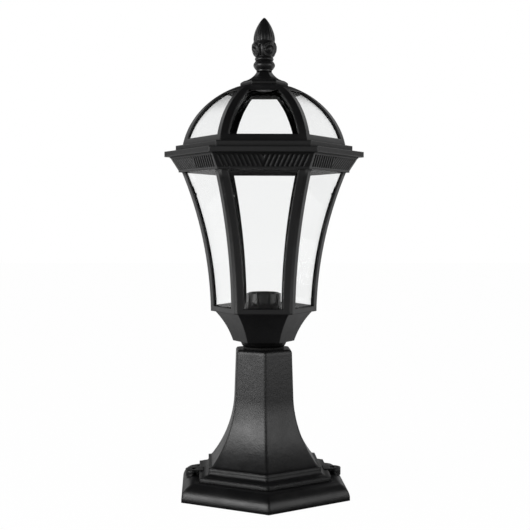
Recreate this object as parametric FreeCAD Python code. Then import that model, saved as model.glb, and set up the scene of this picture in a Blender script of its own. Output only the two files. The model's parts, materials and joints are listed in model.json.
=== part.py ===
import FreeCAD, Part

import math
import os

from FreeCAD import Vector

# Pedestal lamp: a glazed hexagonal lantern on a cast hexagonal pedestal.
# Millimetres, +Z up, origin at the centre of the pedestal's underside.
# A "half" is the distance from the axis to a flat of a hexagon.

# Pedestal
PEDESTAL_HEIGHT = 152.0
PEDESTAL_WALL = 4.0
PEDESTAL_TOP_PLATE = 5.0
BASE_HALF = 86.5
FOOT_HEIGHT = 2.4
ROLL_RADIUS = 15.5
LOWER_FILLET_HALF = 68.2
LOWER_FILLET_HEIGHT = 4.8
COVE_LEDGE = 0.8
COVE_HEIGHT = 3.6
COVE_HOLLOW = 1.4
UPPER_FILLET_HALF = 58.4
UPPER_FILLET_HEIGHT = 5.0
SHAFT_FOOT_HALF = 55.6
SHAFT_WAIST_HALF = 30.6
SHAFT_WAIST_RISE = 67.7
SHAFT_HOLLOW = 5.4
SHAFT_TOP_HALF = 28.95
SHOULDER_RADIUS = 3.4

# Screw lugs on two opposite sides of the pedestal
LUG_SPACING = 148.0
LUG_HOLE_RADIUS = 2.7
LUG_WIDTH = 18.0
LUG_RISE = 0.6
LUG_PLATE = 2.2
LUG_SKIRT = 7.6
LUG_NOTCH = 2.6
LUG_PILLAR_WALL = 2.6

# Neck, nipple and clamping nuts
GASKET_THICKNESS = 2.0
GASKET_RADIUS = 21.4
NECK_HEIGHT = 6.0
NECK_LIP_RADIUS = 22.7
NECK_ROOT_RADIUS = 25.0
NECK_BEVEL = 1.3
NECK_RECESS_RADIUS = 16.5
NIPPLE_RADIUS = 5.0
NIPPLE_WALL = 1.5
NIPPLE_TAIL = 4.0
THREAD_GAP = 0.1
WASHER_REACH = 4.5
WASHER_THICKNESS = 1.5
NUT_WALL = 2.0
NUT_HEIGHT = 5.0

# Lantern cup
HEAD_TURN = 26.3
CUP_HEIGHT = 31.7
CUP_FOOT_HALF = 28.2
CUP_TOP_HALF = 45.0
CUP_HOLLOW = 1.9
CUP_WALL = 3.0
CUP_FLOOR = 4.0

# Cage of curved corner bars
CAGE_HEIGHT = 146.4
CAGE_FOOT_REACH = 4.5
CAGE_TOP_HALF = 75.9
CAGE_HOLLOW = 6.1
CAGE_WALL = 2.0
CAGE_RING_HEIGHT = 5.7
CAGE_LEDGE_HEIGHT = 2.8
CAGE_LEDGE_WIDTH = 7.0
BAR_FLANGE = 8.4
BAR_NOSE = 1.1
COLLAR_HEIGHT = 21.9

# Glazing of the cage and the dome
GLASS = 2.0
GLASS_GAP = 0.2
PANE_CORNER_GAP = 2.0
PANE_TUCK = 4.0
DOME_PANE_TUCK = 2.0
STRIP_THICKNESS = 0.8
STRIP_FLANGE = 4.2
STRIP_FOOT_GAP = 0.2
STRIP_DROP = 14.4
STRIP_SCREW_INSET = 9.0
STRIP_SCREW_BITE = 0.4

# Cornice with its fluted band; each reach is past the cage's top
CORNICE_FOOT_REACH = 2.3
CORNICE_PLAIN_BAND = 1.7
CORNICE_BAND_REACH = 9.7
CORNICE_BAND_HEIGHT = 13.1
CORNICE_BEAD_REACH = 0.7
CORNICE_BEAD_HEIGHT = 1.3
CORNICE_FILLET_REACH = 15.3
CORNICE_FILLET_HEIGHT = 5.7
CORNICE_STEP_REACH = 4.9
CORNICE_STEP_HEIGHT = 6.2
CORNICE_RIM = 11.4
CORNICE_FIT = 0.3
FLUTE_PITCH = 4.75
FLUTE_CENTRE = 3.4
FLUTE_CORNER_GAP = 5.0
FLUTE_CLEAR = 0.5
FLUTE_WIDTH = 3.4
FLUTE_DEPTH = 1.1
FLUTE_LEAN = 0.4
FLUTE_END_GAP = 0.9

# Dome frame
DOME_HEIGHT = 62.3
DOME_FOOT_INSET = 6.3
DOME_TOP_HALF = 24.2
DOME_ROUND = 10.55
DOME_WALL = 2.0
DOME_INWARD = 0.75
DOME_SILL = 6.9
DOME_WINDOW_DROP = 7.9
DOME_FLANGE = 7.4
DOME_FOOT_FLANGE = 3.0
DOME_BOSS_RADIUS = 9.0
DOME_BOSS_HEIGHT = 4.4

# Crown cap and finial
CROWN_LIP_INSET = 2.3
CROWN_LIP_HEIGHT = 3.2
CROWN_SHELF_HALF = 16.5
CROWN_SHELF_RISE = 3.1
CROWN_SHELF_ROUND = 0.5
CROWN_NECK_HALF = 6.8
CROWN_SWEEP_RISE = 9.3
CROWN_SWEEP_HOLLOW = 1.3
FINIAL_COLLAR_RADIUS = 7.8
FINIAL_COLLAR_HEIGHT = 1.8
FINIAL_BALL_RADIUS = 11.0
FINIAL_BALL_HEIGHT = 9.2
FINIAL_BALL_NECK = 8.6
FINIAL_BEAD_RADIUS = 9.4
FINIAL_BEAD_HEIGHT = 3.6
FINIAL_WAIST_RADIUS = 8.8
FINIAL_LEAF_HEIGHT = 18.4
FINIAL_LEAF_BULGE = 2.4
FINIAL_BUD_RADIUS = 10.8
FINIAL_BUD_HEIGHT = 23.0
FINIAL_BUD_ROUND = 2.4
FINIAL_TIP_RADIUS = 0.5
STUD_RADIUS = 3.0
STUD_GAP = 0.15
STUD_BITE = 12.0

# Lamp holder
HOLDER_WALL = 2.6
HOLDER_HEIGHT = 41.0
HOLDER_BASE = 6.0
HOLDER_MOUTH_BEVEL = 1.0
HOLDER_RING_WALL = 1.8
HOLDER_RING_HEIGHT = 9.6
HOLDER_RING_DROP = 1.2
HOLDER_RING_GAP = 0.1
SHELL_RADIUS = 13.2
SHELL_THICKNESS = 0.5
SHELL_HEIGHT = 24.0
SHELL_GAP = 0.1
INSERT_HEIGHT = 6.0
CONTACT_RADIUS = 4.5
CONTACT_HEIGHT = 3.0
CONTACT_BEVEL = 1.2
CONTACT_RECESS = 0.5
COVER_THICKNESS = 1.2
COVER_FLANGE = 2.0
COVER_FOOT_RISE = 18.0
COVER_GAP = 0.3

# Screws: shank radius, head radius, head height
CAGE_SCREW = (2.0, 3.5, 2.4)
CAGE_SCREW_LENGTH = 9.0
CAGE_SCREW_INSET = 5.4
CAGE_BOSS_FLOOR = 1.8
CAGE_LUG_RADIUS = 5.0
DOME_SCREW = (1.5, 2.7, 1.8)
DOME_SCREW_LENGTH = 8.2
DOME_SCREW_INSET = 4.0
STRIP_SCREW = (1.0, 2.0, 1.3)
SET_SCREW_RADIUS = 2.0
SET_SCREW_FACES = (0, 120)
SCREW_GAP = 0.1

# Terminal block, earth point and inner leads
TERMINAL_LEVEL = 77.0
TERMINAL_SIZE = (12.0, 30.0, 16.0)
TERMINAL_FACE = 20.0
TERMINAL_PITCH = 10.0
TERMINAL_WELL_RADIUS = 3.2
TERMINAL_SCREW_RADIUS = 2.2
TERMINAL_SCREW_HEIGHT = 3.0
TERMINAL_WELL_DEPTH = 4.0
TERMINAL_WIRE_RADIUS = 1.3
TERMINAL_WIRE_DEPTH = 5.0
TERMINAL_FIXING = (1.5, 2.7, 1.8)
TERMINAL_FIXING_BITE = 7.0
BOSS_WIDTH = 16.0
BOSS_HEIGHT = 10.0
EARTH_TAG_RADIUS = 5.0
EARTH_TAG_THICKNESS = 1.0
EARTH_BARREL_RADIUS = 1.9
EARTH_BARREL_HEIGHT = 6.0
EARTH_SCREW = (2.0, 3.5, 2.4)
EARTH_SCREW_LENGTH = 8.0
LEAD_RADIUS = 1.0
LEAD_RISE = 13.0
LEAD_SPREAD = 1.4
LEAD_GATHER = 9.0
LEAD_BEND_SHARE = 0.45

# How far a cutting shape stands out of what it cuts
CUT_CLEAR = 1.0

COS30 = math.cos(math.radians(30))
TAN30 = math.tan(math.radians(30))
QUARTER_SAG = 1 - math.sqrt(0.5)
AXIS = Vector(0, 0, 1)
FACES = [60 * index for index in range(6)]
CORNERS = [30 + face for face in FACES]
SCREW_CORNERS = CORNERS[::2]

# Halves and radii that follow the sizes above
CAGE_FOOT_HALF = CUP_TOP_HALF + CAGE_FOOT_REACH
CAGE_SCREW_CORNER = (CUP_TOP_HALF - CUP_WALL) / COS30 - CAGE_SCREW_INSET
CORNICE_FOOT_HALF = CAGE_TOP_HALF + CORNICE_FOOT_REACH
CORNICE_BAND_HALF = CAGE_TOP_HALF + CORNICE_BAND_REACH
CORNICE_FILLET_HALF = CAGE_TOP_HALF + CORNICE_FILLET_REACH
CORNICE_STEP_HALF = CAGE_TOP_HALF + CORNICE_STEP_REACH
CORNICE_OPENING_HALF = CAGE_TOP_HALF - CORNICE_RIM
DOME_FOOT_HALF = CORNICE_STEP_HALF - DOME_FOOT_INSET
DOME_SCREW_HALF = CORNICE_OPENING_HALF + DOME_SCREW_INSET
CROWN_LIP_HALF = DOME_TOP_HALF - CROWN_LIP_INSET
HOLDER_BORE = SHELL_RADIUS + SHELL_THICKNESS + SHELL_GAP
HOLDER_RADIUS = HOLDER_BORE + HOLDER_WALL
HOLDER_RING_BORE = HOLDER_RADIUS + HOLDER_RING_GAP
NIPPLE_HOLE = NIPPLE_RADIUS + THREAD_GAP
STUD_HOLE = STUD_RADIUS + STUD_GAP
LUG_PLACE = LUG_SPACING / 2
STRIP_BACK = CAGE_WALL + 2 * GLASS_GAP + GLASS

# Levels, worked out from the heights above
ROLL_TOP = FOOT_HEIGHT + ROLL_RADIUS
LOWER_FILLET_TOP = ROLL_TOP + LOWER_FILLET_HEIGHT
COVE_TOP = LOWER_FILLET_TOP + COVE_HEIGHT
SHAFT_FOOT = COVE_TOP + UPPER_FILLET_HEIGHT
NECK_FOOT = PEDESTAL_HEIGHT + GASKET_THICKNESS
CUP_FOOT = NECK_FOOT + NECK_HEIGHT
CUP_FLOOR_TOP = CUP_FOOT + CUP_FLOOR
CAGE_FOOT = CUP_FOOT + CUP_HEIGHT
LEDGE_TOP = CAGE_FOOT + CAGE_LEDGE_HEIGHT
WINDOW_FOOT = CAGE_FOOT + CAGE_RING_HEIGHT
CORNICE_FOOT = CAGE_FOOT + CAGE_HEIGHT
COLLAR_TOP = CORNICE_FOOT + COLLAR_HEIGHT
BAND_FOOT = CORNICE_FOOT + CORNICE_PLAIN_BAND
BAND_TOP = BAND_FOOT + CORNICE_BAND_HEIGHT
FILLET_FOOT = BAND_TOP + CORNICE_BEAD_HEIGHT
FILLET_TOP = FILLET_FOOT + CORNICE_FILLET_HEIGHT
DOME_FOOT = FILLET_TOP + CORNICE_STEP_HEIGHT
SILL = DOME_FOOT + DOME_SILL
DOME_TOP = DOME_FOOT + DOME_HEIGHT
DOME_WINDOW_TOP = DOME_TOP - DOME_WINDOW_DROP
DOME_FLANGE_TOP = DOME_FOOT + DOME_FOOT_FLANGE
CROWN_SHELF = DOME_TOP + CROWN_LIP_HEIGHT + CROWN_SHELF_RISE
FINIAL_FOOT = CROWN_SHELF + CROWN_SWEEP_RISE
NUT_TOP = CUP_FLOOR_TOP + WASHER_THICKNESS + NUT_HEIGHT
HOLDER_TOP = NUT_TOP + HOLDER_HEIGHT
RING_TOP = HOLDER_TOP - HOLDER_RING_DROP
RING_FOOT = RING_TOP - HOLDER_RING_HEIGHT
LUG_TOP = LOWER_FILLET_TOP + LUG_RISE
PEDESTAL_CEILING = PEDESTAL_HEIGHT - PEDESTAL_TOP_PLATE
LOWER_NUT = PEDESTAL_CEILING - WASHER_THICKNESS - NUT_HEIGHT
NIPPLE_FOOT = LOWER_NUT - NIPPLE_TAIL
INSERT_FOOT = NUT_TOP + HOLDER_BASE
TERMINAL_TOP = TERMINAL_LEVEL + TERMINAL_SIZE[2]
TERMINAL_MIDDLE = TERMINAL_LEVEL + TERMINAL_SIZE[2] / 2


def turned(shape, degrees):
    """A copy turned about the lamp's axis."""
    copy = shape.copy()
    copy.rotate(Vector(), AXIS, degrees)
    return copy


def raised(shape, height):
    """A copy moved up."""
    copy = shape.copy()
    copy.translate(AXIS * height)
    return copy


def section_point(place):
    """The point of the XZ plane at (distance from axis, height)."""
    return Vector(place[0], 0, place[1])


def bow(start, end, outward):
    """An arc step from start to end whose middle stands outward from the chord, or inward if negative."""
    run = (end[0] - start[0], end[1] - start[1])
    chord = math.hypot(*run)
    middle = (
        (start[0] + end[0]) / 2 + outward * run[1] / chord,
        (start[1] + end[1]) / 2 - outward * run[0] / chord,
    )
    return (middle, end)


def bow_reach(start, end, outward, height):
    """Distance from the axis of such an arc at a height."""
    circle = section_edges([start, bow(start, end, outward)])[0].Curve
    across = math.sqrt(circle.Radius ** 2 - (height - circle.Center.z) ** 2)
    return circle.Center.x + math.copysign(across, outward)


def section_edges(outline):
    """Edges of an outline whose steps are points to run to, or (middle, end) pairs of arcs."""
    here = outline[0]
    edges = []
    for step in outline[1:]:
        if isinstance(step[0], tuple):
            middle, there = step
            curve = Part.Arc(section_point(here), section_point(middle), section_point(there))
        else:
            there = step
            curve = Part.LineSegment(section_point(here), section_point(there))
        edges.append(curve.toShape())
        here = there
    return edges


def moved(outline, across, up):
    """The same outline, shifted in its plane."""
    def place(point):
        return (point[0] + across, point[1] + up)

    return [
        tuple(place(point) for point in step) if isinstance(step[0], tuple) else place(step)
        for step in outline
    ]


def last_point(outline):
    """Where an outline ends."""
    end = outline[-1]
    return end[1] if isinstance(end[0], tuple) else end


def closed_face(edges):
    """A face inside edges that close on themselves."""
    return Part.Face(Part.Wire(Part.__sortEdges__(edges)))


def hexagon(outline):
    """A hexagonal solid whose six flats follow the outline, with mitred corners."""
    right = section_edges(outline)
    left = [edge.mirror(Vector(), Vector(1, 0, 0)) for edge in right]
    ends = [outline[0], last_point(outline)]
    across = [
        Part.LineSegment(section_point((-half, height)), section_point((half, height))).toShape()
        for half, height in ends
    ]
    face = closed_face(right + left + across)
    depth = 2 * face.BoundBox.XMax
    slab = face.extrude(Vector(0, 2 * depth, 0))
    slab.translate(Vector(0, -depth, 0))
    return slab.common(turned(slab, 60)).common(turned(slab, 120))


def straight_hexagon(half, low, high):
    """A plain hexagonal prism."""
    return hexagon([(half, low), (half, high)])


def spun(outline):
    """A turned solid from an outline that a straight line closes."""
    edges = section_edges(outline)
    start, end = section_point(outline[0]), section_point(last_point(outline))
    edges.append(Part.LineSegment(end, start).toShape())
    return closed_face(edges).revolve(Vector(), AXIS, 360)


def tube(outer, inner, low, high):
    """A plain round ring."""
    return spun([(inner, low), (outer, low), (outer, high), (inner, high)])


def rod(radius, low, high):
    """A plain round bar on the axis."""
    return Part.makeCylinder(radius, high - low, AXIS * low)


def wedge(degrees, inset, low, high):
    """The space before one flat, between two planes set in from its corner planes."""
    reach = 2 * CORNICE_FILLET_HALF
    tip = inset / math.sin(math.radians(30))
    side = (reach - tip) * TAN30
    corners = [Vector(tip, 0, low), Vector(reach, side, low), Vector(reach, -side, low), Vector(tip, 0, low)]
    prism = Part.Face(Part.makePolygon(corners)).extrude(AXIS * (high - low))
    return turned(prism, degrees)


def at_corner(shape, radius, degrees):
    """A copy moved out from the axis to a radius in one direction."""
    copy = shape.copy()
    copy.translate(Vector(radius, 0, 0))
    return turned(copy, degrees)


def screw(sizes, length):
    """A pan-head screw on the axis, its head standing on level 0 and its shank below."""
    shank, head, height = sizes
    return rod(shank, -length, 0).fuse(rod(head, 0, height)).removeSplitter()


def screw_hole(sizes, length):
    """The hole for such a screw's shank, with a gap all round."""
    return rod(sizes[0] + SCREW_GAP, -length - SCREW_GAP, 0)


def nut(low):
    """A hexagonal nut on the nipple."""
    body = straight_hexagon(NIPPLE_RADIUS + NUT_WALL, low, low + NUT_HEIGHT)
    return body.cut(rod(NIPPLE_HOLE, low, low + NUT_HEIGHT))


def pedestal_outline():
    """Half section of the pedestal: foot, roll, fillet, cove, fillet, flared shaft, shoulder."""
    roll_end = (BASE_HALF - ROLL_RADIUS, ROLL_TOP)
    roll_start = (BASE_HALF, FOOT_HEIGHT)
    cove_start = (LOWER_FILLET_HALF - COVE_LEDGE, LOWER_FILLET_TOP)
    cove_end = (UPPER_FILLET_HALF, COVE_TOP)
    flare_start = (SHAFT_FOOT_HALF, SHAFT_FOOT)
    flare_end = (SHAFT_WAIST_HALF, SHAFT_FOOT + SHAFT_WAIST_RISE)
    shoulder_start = (SHAFT_TOP_HALF, PEDESTAL_HEIGHT - SHOULDER_RADIUS)
    shoulder_end = (SHAFT_TOP_HALF - SHOULDER_RADIUS, PEDESTAL_HEIGHT)
    return [
        (BASE_HALF, 0.0),
        roll_start,
        bow(roll_start, roll_end, ROLL_RADIUS * QUARTER_SAG),
        (LOWER_FILLET_HALF, ROLL_TOP),
        (LOWER_FILLET_HALF, LOWER_FILLET_TOP),
        cove_start,
        bow(cove_start, cove_end, -COVE_HOLLOW),
        (UPPER_FILLET_HALF, SHAFT_FOOT),
        flare_start,
        bow(flare_start, flare_end, -SHAFT_HOLLOW),
        shoulder_start,
        bow(shoulder_start, shoulder_end, SHOULDER_RADIUS * QUARTER_SAG),
    ]


def pedestal():
    """The hollow casting, open below, with its lugs, inner bosses and nipple hole."""
    outline = pedestal_outline()
    outer = hexagon(outline)
    hollow = moved(outline[:-2], -PEDESTAL_WALL, -PEDESTAL_WALL)
    hollow.append((SHAFT_TOP_HALF - PEDESTAL_WALL, PEDESTAL_CEILING))
    body = outer.cut(hexagon(hollow))
    pieces = [lug(side) for side in (0, 180)] + [inner_boss(side).common(outer) for side in (0, 180)]
    body = body.fuse(pieces).removeSplitter()
    screw_way = rod(LUG_HOLE_RADIUS, -CUT_CLEAR, LUG_TOP + CUT_CLEAR)
    holes = [at_corner(screw_way, LUG_PLACE, side) for side in (0, 180)]
    holes.append(rod(NIPPLE_HOLE, PEDESTAL_CEILING - CUT_CLEAR, PEDESTAL_HEIGHT + CUT_CLEAR))
    holes.append(terminal_fixing_screw(screw_hole))
    holes.append(earth_screw(screw_hole))
    return body.cut(holes)


def lug(degrees):
    """A round-ended tongue with a skirt notched on both sides, and a pillar down through the foot."""
    inner = LOWER_FILLET_HALF - PEDESTAL_WALL
    half = LUG_WIDTH / 2
    low = LUG_TOP - LUG_SKIRT
    pillar_radius = LUG_HOLE_RADIUS + LUG_PILLAR_WALL
    depth = half - pillar_radius
    root = Part.makeBox(LUG_PLACE - inner, LUG_WIDTH, LUG_SKIRT, Vector(inner, -half, low))
    nose = rod(half, low, LUG_TOP)
    pillar = rod(pillar_radius, 0, LUG_TOP)
    for piece in (nose, pillar):
        piece.translate(Vector(LUG_PLACE, 0, 0))
    notches = [
        Part.makeBox(
            LUG_NOTCH,
            depth + CUT_CLEAR,
            LUG_SKIRT - LUG_PLATE + CUT_CLEAR,
            Vector(LUG_PLACE - LUG_NOTCH, start, low - CUT_CLEAR),
        )
        for start in (pillar_radius, -half - CUT_CLEAR)
    ]
    tongue = root.fuse(nose).cut(notches)
    return turned(tongue.fuse(pillar).removeSplitter(), degrees)


def inner_boss(degrees):
    """A boss on an inner flat of the shaft, level with the terminal block."""
    low = TERMINAL_LEVEL + (TERMINAL_SIZE[2] - BOSS_HEIGHT) / 2
    boss = Part.makeBox(SHAFT_FOOT_HALF, BOSS_WIDTH, BOSS_HEIGHT, Vector(TERMINAL_FACE, -BOSS_WIDTH / 2, low))
    return turned(boss, degrees)


def sideways(shape, start, height, degrees):
    """A copy of a shape on the Z axis, laid along +X from a start point and turned."""
    copy = shape.copy()
    copy.rotate(Vector(), Vector(0, 1, 0), 90)
    copy.translate(Vector(start, 0, height))
    return turned(copy, degrees)


def neck_gasket():
    """The seal between the pedestal's top and the lantern's neck."""
    return tube(GASKET_RADIUS, NECK_RECESS_RADIUS, PEDESTAL_HEIGHT, NECK_FOOT)


def cup_curve():
    """Foot, top and hollow of the cup's swept flats."""
    return ((CUP_FOOT_HALF, CUP_FOOT), (CUP_TOP_HALF, CAGE_FOOT), -CUP_HOLLOW)


def lantern_cup():
    """The swept cup on its round neck, with bosses for the cage's screws."""
    foot, top, outward = cup_curve()
    outline = [foot, bow(foot, top, outward)]
    outer = hexagon(outline)
    hollow = hexagon(moved(outline, -CUP_WALL, 0))
    above_floor = straight_hexagon(CUP_TOP_HALF, CUP_FLOOR_TOP, CAGE_FOOT)
    body = outer.cut(hollow.common(above_floor))
    neck = spun([
        (NECK_RECESS_RADIUS, NECK_FOOT),
        (NECK_LIP_RADIUS - NECK_BEVEL, NECK_FOOT),
        (NECK_LIP_RADIUS, NECK_FOOT + NECK_BEVEL),
        (NECK_ROOT_RADIUS, CUP_FOOT),
        (NECK_RECESS_RADIUS, CUP_FOOT),
    ])
    screw_tip = LEDGE_TOP - CAGE_SCREW_LENGTH
    boss = rod(CAGE_LUG_RADIUS, screw_tip - CAGE_BOSS_FLOOR, CAGE_FOOT)
    bosses = [at_corner(boss, CAGE_SCREW_CORNER, corner).common(outer) for corner in SCREW_CORNERS]
    body = body.fuse([neck] + bosses).removeSplitter()
    shank = raised(screw_hole(CAGE_SCREW, CAGE_SCREW_LENGTH), LEDGE_TOP)
    holes = [at_corner(shank, CAGE_SCREW_CORNER, corner) for corner in SCREW_CORNERS]
    holes.append(rod(NIPPLE_HOLE, CUP_FOOT - CUT_CLEAR, CUP_FLOOR_TOP + CUT_CLEAR))
    return body.cut(holes)


def cage_outline(scale, inward):
    """Half section of the cage, bars and collar, drawn at a scale and set inward."""
    foot = (CAGE_FOOT_HALF * scale - inward, CAGE_FOOT)
    top = (CAGE_TOP_HALF * scale - inward, CORNICE_FOOT)
    return [foot, bow(foot, top, -CAGE_HOLLOW * scale), (top[0], COLLAR_TOP)]


def cage_half(height, inward):
    """Distance from the axis to a surface of the cage's flats, set inward from the outside, at a height."""
    foot, top = (CAGE_FOOT_HALF, CAGE_FOOT), (CAGE_TOP_HALF, CORNICE_FOOT)
    return bow_reach(foot, top, -CAGE_HOLLOW, height) - inward


def cage_strip_levels():
    """Heights of the two screws in each of the cage's strips."""
    foot, top = LEDGE_TOP + STRIP_FOOT_GAP, CORNICE_FOOT - STRIP_DROP
    return (foot + STRIP_SCREW_INSET, top - STRIP_SCREW_INSET)


def cage():
    """Bottom ring, six curved corner bars with blunt noses, and the collar that enters the cornice."""
    blunt = turned(hexagon(cage_outline(1 / COS30, BAR_NOSE)), 30)
    shell = hexagon(cage_outline(1, 0)).common(blunt).cut(hexagon(cage_outline(1, CAGE_WALL)))
    windows = [wedge(face, BAR_FLANGE * COS30, WINDOW_FOOT, CORNICE_FOOT) for face in FACES]
    shell = shell.cut(windows)
    ledge_inner = CAGE_FOOT_HALF - CAGE_WALL - CAGE_LEDGE_WIDTH
    ledge = straight_hexagon(CAGE_FOOT_HALF - CAGE_WALL / 2, CAGE_FOOT, LEDGE_TOP)
    ledge = ledge.cut(straight_hexagon(ledge_inner, CAGE_FOOT, LEDGE_TOP))
    lug_disc = rod(CAGE_LUG_RADIUS, CAGE_FOOT, LEDGE_TOP)
    lugs = [at_corner(lug_disc, CAGE_SCREW_CORNER, corner) for corner in SCREW_CORNERS]
    body = shell.fuse([ledge] + lugs).removeSplitter()
    shank = raised(screw_hole(CAGE_SCREW, CAGE_SCREW_LENGTH), LEDGE_TOP)
    holes = [at_corner(shank, CAGE_SCREW_CORNER, corner) for corner in SCREW_CORNERS]
    return body.cut(holes + strip_screws(screw_hole))


def flank(outer, inner, degrees):
    """The wall between two outlines, straight across one flat."""
    edges = section_edges(outer) + section_edges(inner)
    for near, far in ((outer[0], inner[0]), (last_point(outer), last_point(inner))):
        edges.append(Part.LineSegment(section_point(near), section_point(far)).toShape())
    wall = closed_face(edges)
    depth = wall.BoundBox.XMax
    wall.translate(Vector(0, -depth, 0))
    return turned(wall.extrude(Vector(0, 2 * depth, 0)), degrees)


def cage_pane(face):
    """One curved side pane, standing on the ledge behind the bars' flanges."""
    outside = CAGE_WALL + GLASS_GAP
    glass = flank(cage_outline(1, outside), cage_outline(1, outside + GLASS), face)
    return glass.common(wedge(face, PANE_CORNER_GAP, LEDGE_TOP, CORNICE_FOOT + PANE_TUCK))


def cage_strips():
    """Six angle strips that hold the side panes against the bars, in order round the axis."""
    low, high = LEDGE_TOP + STRIP_FOOT_GAP, CORNICE_FOOT - STRIP_DROP
    outer, inner = cage_outline(1, STRIP_BACK), cage_outline(1, STRIP_BACK + STRIP_THICKNESS)
    shell = hexagon(outer).cut(hexagon(inner))
    shell = shell.common(straight_hexagon(CORNICE_FILLET_HALF, low, high))
    windows = [wedge(face, STRIP_FLANGE * COS30, low, high) for face in FACES]
    strips = shell.cut(windows + strip_screws(screw_hole)).Solids
    return sorted(strips, key=lambda strip: math.atan2(strip.CenterOfMass.y, strip.CenterOfMass.x) % math.tau)


def strip_screws(maker=screw):
    """Screws, or their holes, from inside through each strip's corner into the bar behind it."""
    head = STRIP_SCREW[1]
    inner = STRIP_BACK + STRIP_THICKNESS
    screws = []
    for level in cage_strip_levels():
        bar = cage_half(level, CAGE_WALL) / COS30
        strip = cage_half(level, inner)
        lean = (strip - min(cage_half(level - head, inner), cage_half(level + head, inner))) / head
        seat = strip / COS30 - head * math.hypot(TAN30, lean / COS30)
        piece = maker(STRIP_SCREW, bar + STRIP_SCREW_BITE - seat)
        screws += [sideways(piece, -seat, level, corner + 180) for corner in CORNERS]
    return screws


def cornice_outline():
    """Half section of the cornice: plain band, fluted band, bead, fillet and step."""
    bead = CORNICE_BAND_HALF + CORNICE_BEAD_REACH
    return [
        (CORNICE_FOOT_HALF, CORNICE_FOOT),
        (CORNICE_FOOT_HALF, BAND_FOOT),
        (CORNICE_BAND_HALF, BAND_TOP),
        (bead, BAND_TOP),
        (bead, FILLET_FOOT),
        (CORNICE_FILLET_HALF, FILLET_FOOT),
        (CORNICE_FILLET_HALF, FILLET_TOP),
        (CORNICE_STEP_HALF, FILLET_TOP),
        (CORNICE_STEP_HALF, DOME_FOOT),
    ]


def flute(side, index):
    """One leaning V groove on the band of the +X flat, to one side of its middle line."""
    slope = Vector(CORNICE_BAND_HALF - CORNICE_FOOT_HALF, 0, CORNICE_BAND_HEIGHT)
    run = slope.Length - 2 * FLUTE_END_GAP
    rise = slope.normalize()
    across = Vector(0, side, 0)
    out = Vector(rise.z, 0, -rise.x)
    lean = rise + across * FLUTE_LEAN
    middle = Vector((CORNICE_FOOT_HALF + CORNICE_BAND_HALF) / 2, 0, (BAND_FOOT + BAND_TOP) / 2)
    foot = middle + across * (FLUTE_CENTRE + index * FLUTE_PITCH) - lean * (run / 2)
    mouth = FLUTE_WIDTH / 2 * (1 + FLUTE_CLEAR / FLUTE_DEPTH)
    corners = [
        foot + out * FLUTE_CLEAR + across * mouth,
        foot + out * FLUTE_CLEAR - across * mouth,
        foot - out * FLUTE_DEPTH,
    ]
    return Part.Face(Part.makePolygon(corners + corners[:1])).extrude(lean * run)


def cornice():
    """The moulded ring that sits over the cage's collar, with chevron flutes on each flat."""
    body = hexagon(cornice_outline())
    body = body.cut(straight_hexagon(CAGE_TOP_HALF + CORNICE_FIT, CORNICE_FOOT, COLLAR_TOP))
    body = body.cut(straight_hexagon(CORNICE_OPENING_HALF, COLLAR_TOP, DOME_FOOT))
    half_face = (CORNICE_FOOT_HALF + CORNICE_BAND_HALF) / 2 * TAN30
    count = int((half_face - FLUTE_CENTRE - FLUTE_CORNER_GAP) / FLUTE_PITCH) + 1
    flutes = [flute(side, index) for side in (1, -1) for index in range(count)]
    cuts = [turned(groove, face) for face in FACES for groove in flutes]
    cuts += dome_screws(screw_hole)
    cuts += set_screws(SCREW_GAP)
    return body.cut(cuts)


def set_screws(gap=0.0):
    """Headless screws through the cornice's fillet that clamp it on the collar, or their holes with a gap."""
    level = (FILLET_FOOT + FILLET_TOP) / 2
    piece = rod(SET_SCREW_RADIUS + gap, 0, CORNICE_FILLET_HALF - CAGE_TOP_HALF)
    return [sideways(piece, CAGE_TOP_HALF, level, face) for face in SET_SCREW_FACES]


def dome_screws(maker=screw):
    """Screws, or their holes, from below through the cornice's top into the dome's foot."""
    piece = maker(DOME_SCREW, DOME_SCREW_LENGTH)
    piece.rotate(Vector(), Vector(1, 0, 0), 180)
    return [at_corner(raised(piece, COLLAR_TOP), DOME_SCREW_HALF, face) for face in FACES[::2]]


def dome_outline(inward):
    """Half section of the dome's rounded flats, set inward by a thickness."""
    foot, top = (DOME_FOOT_HALF, DOME_FOOT), (DOME_TOP_HALF, DOME_TOP)
    shift = -DOME_INWARD * inward
    return moved([foot, bow(foot, top, DOME_ROUND)], shift, shift)


def dome_frame():
    """Six ribs between a foot flange and a small flat top with its stud boss."""
    shell = hexagon(dome_outline(0)).cut(hexagon(dome_outline(DOME_WALL)))
    shell = shell.cut([wedge(face, DOME_FLANGE * COS30, SILL, DOME_WINDOW_TOP) for face in FACES])
    flange = straight_hexagon(DOME_FOOT_HALF - DOME_WALL / 2, DOME_FOOT, DOME_FLANGE_TOP)
    flange = flange.cut(straight_hexagon(CORNICE_OPENING_HALF, DOME_FOOT, DOME_FLANGE_TOP))
    flange = flange.common(hexagon(dome_outline(0)))
    boss_foot = DOME_TOP - DOME_BOSS_HEIGHT
    boss = rod(DOME_BOSS_RADIUS, boss_foot, DOME_TOP)
    body = shell.fuse([flange, boss]).removeSplitter()
    stud_way = rod(STUD_HOLE, boss_foot - CUT_CLEAR, DOME_TOP + CUT_CLEAR)
    return body.cut(dome_screws(screw_hole) + [stud_way])


def dome_pane(face):
    """One curved pane behind the ribs, standing on the foot flange."""
    outside = DOME_WALL + GLASS_GAP
    glass = flank(dome_outline(outside), dome_outline(outside + GLASS), face)
    return glass.common(wedge(face, PANE_CORNER_GAP, DOME_FLANGE_TOP, DOME_WINDOW_TOP + DOME_PANE_TUCK))


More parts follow.
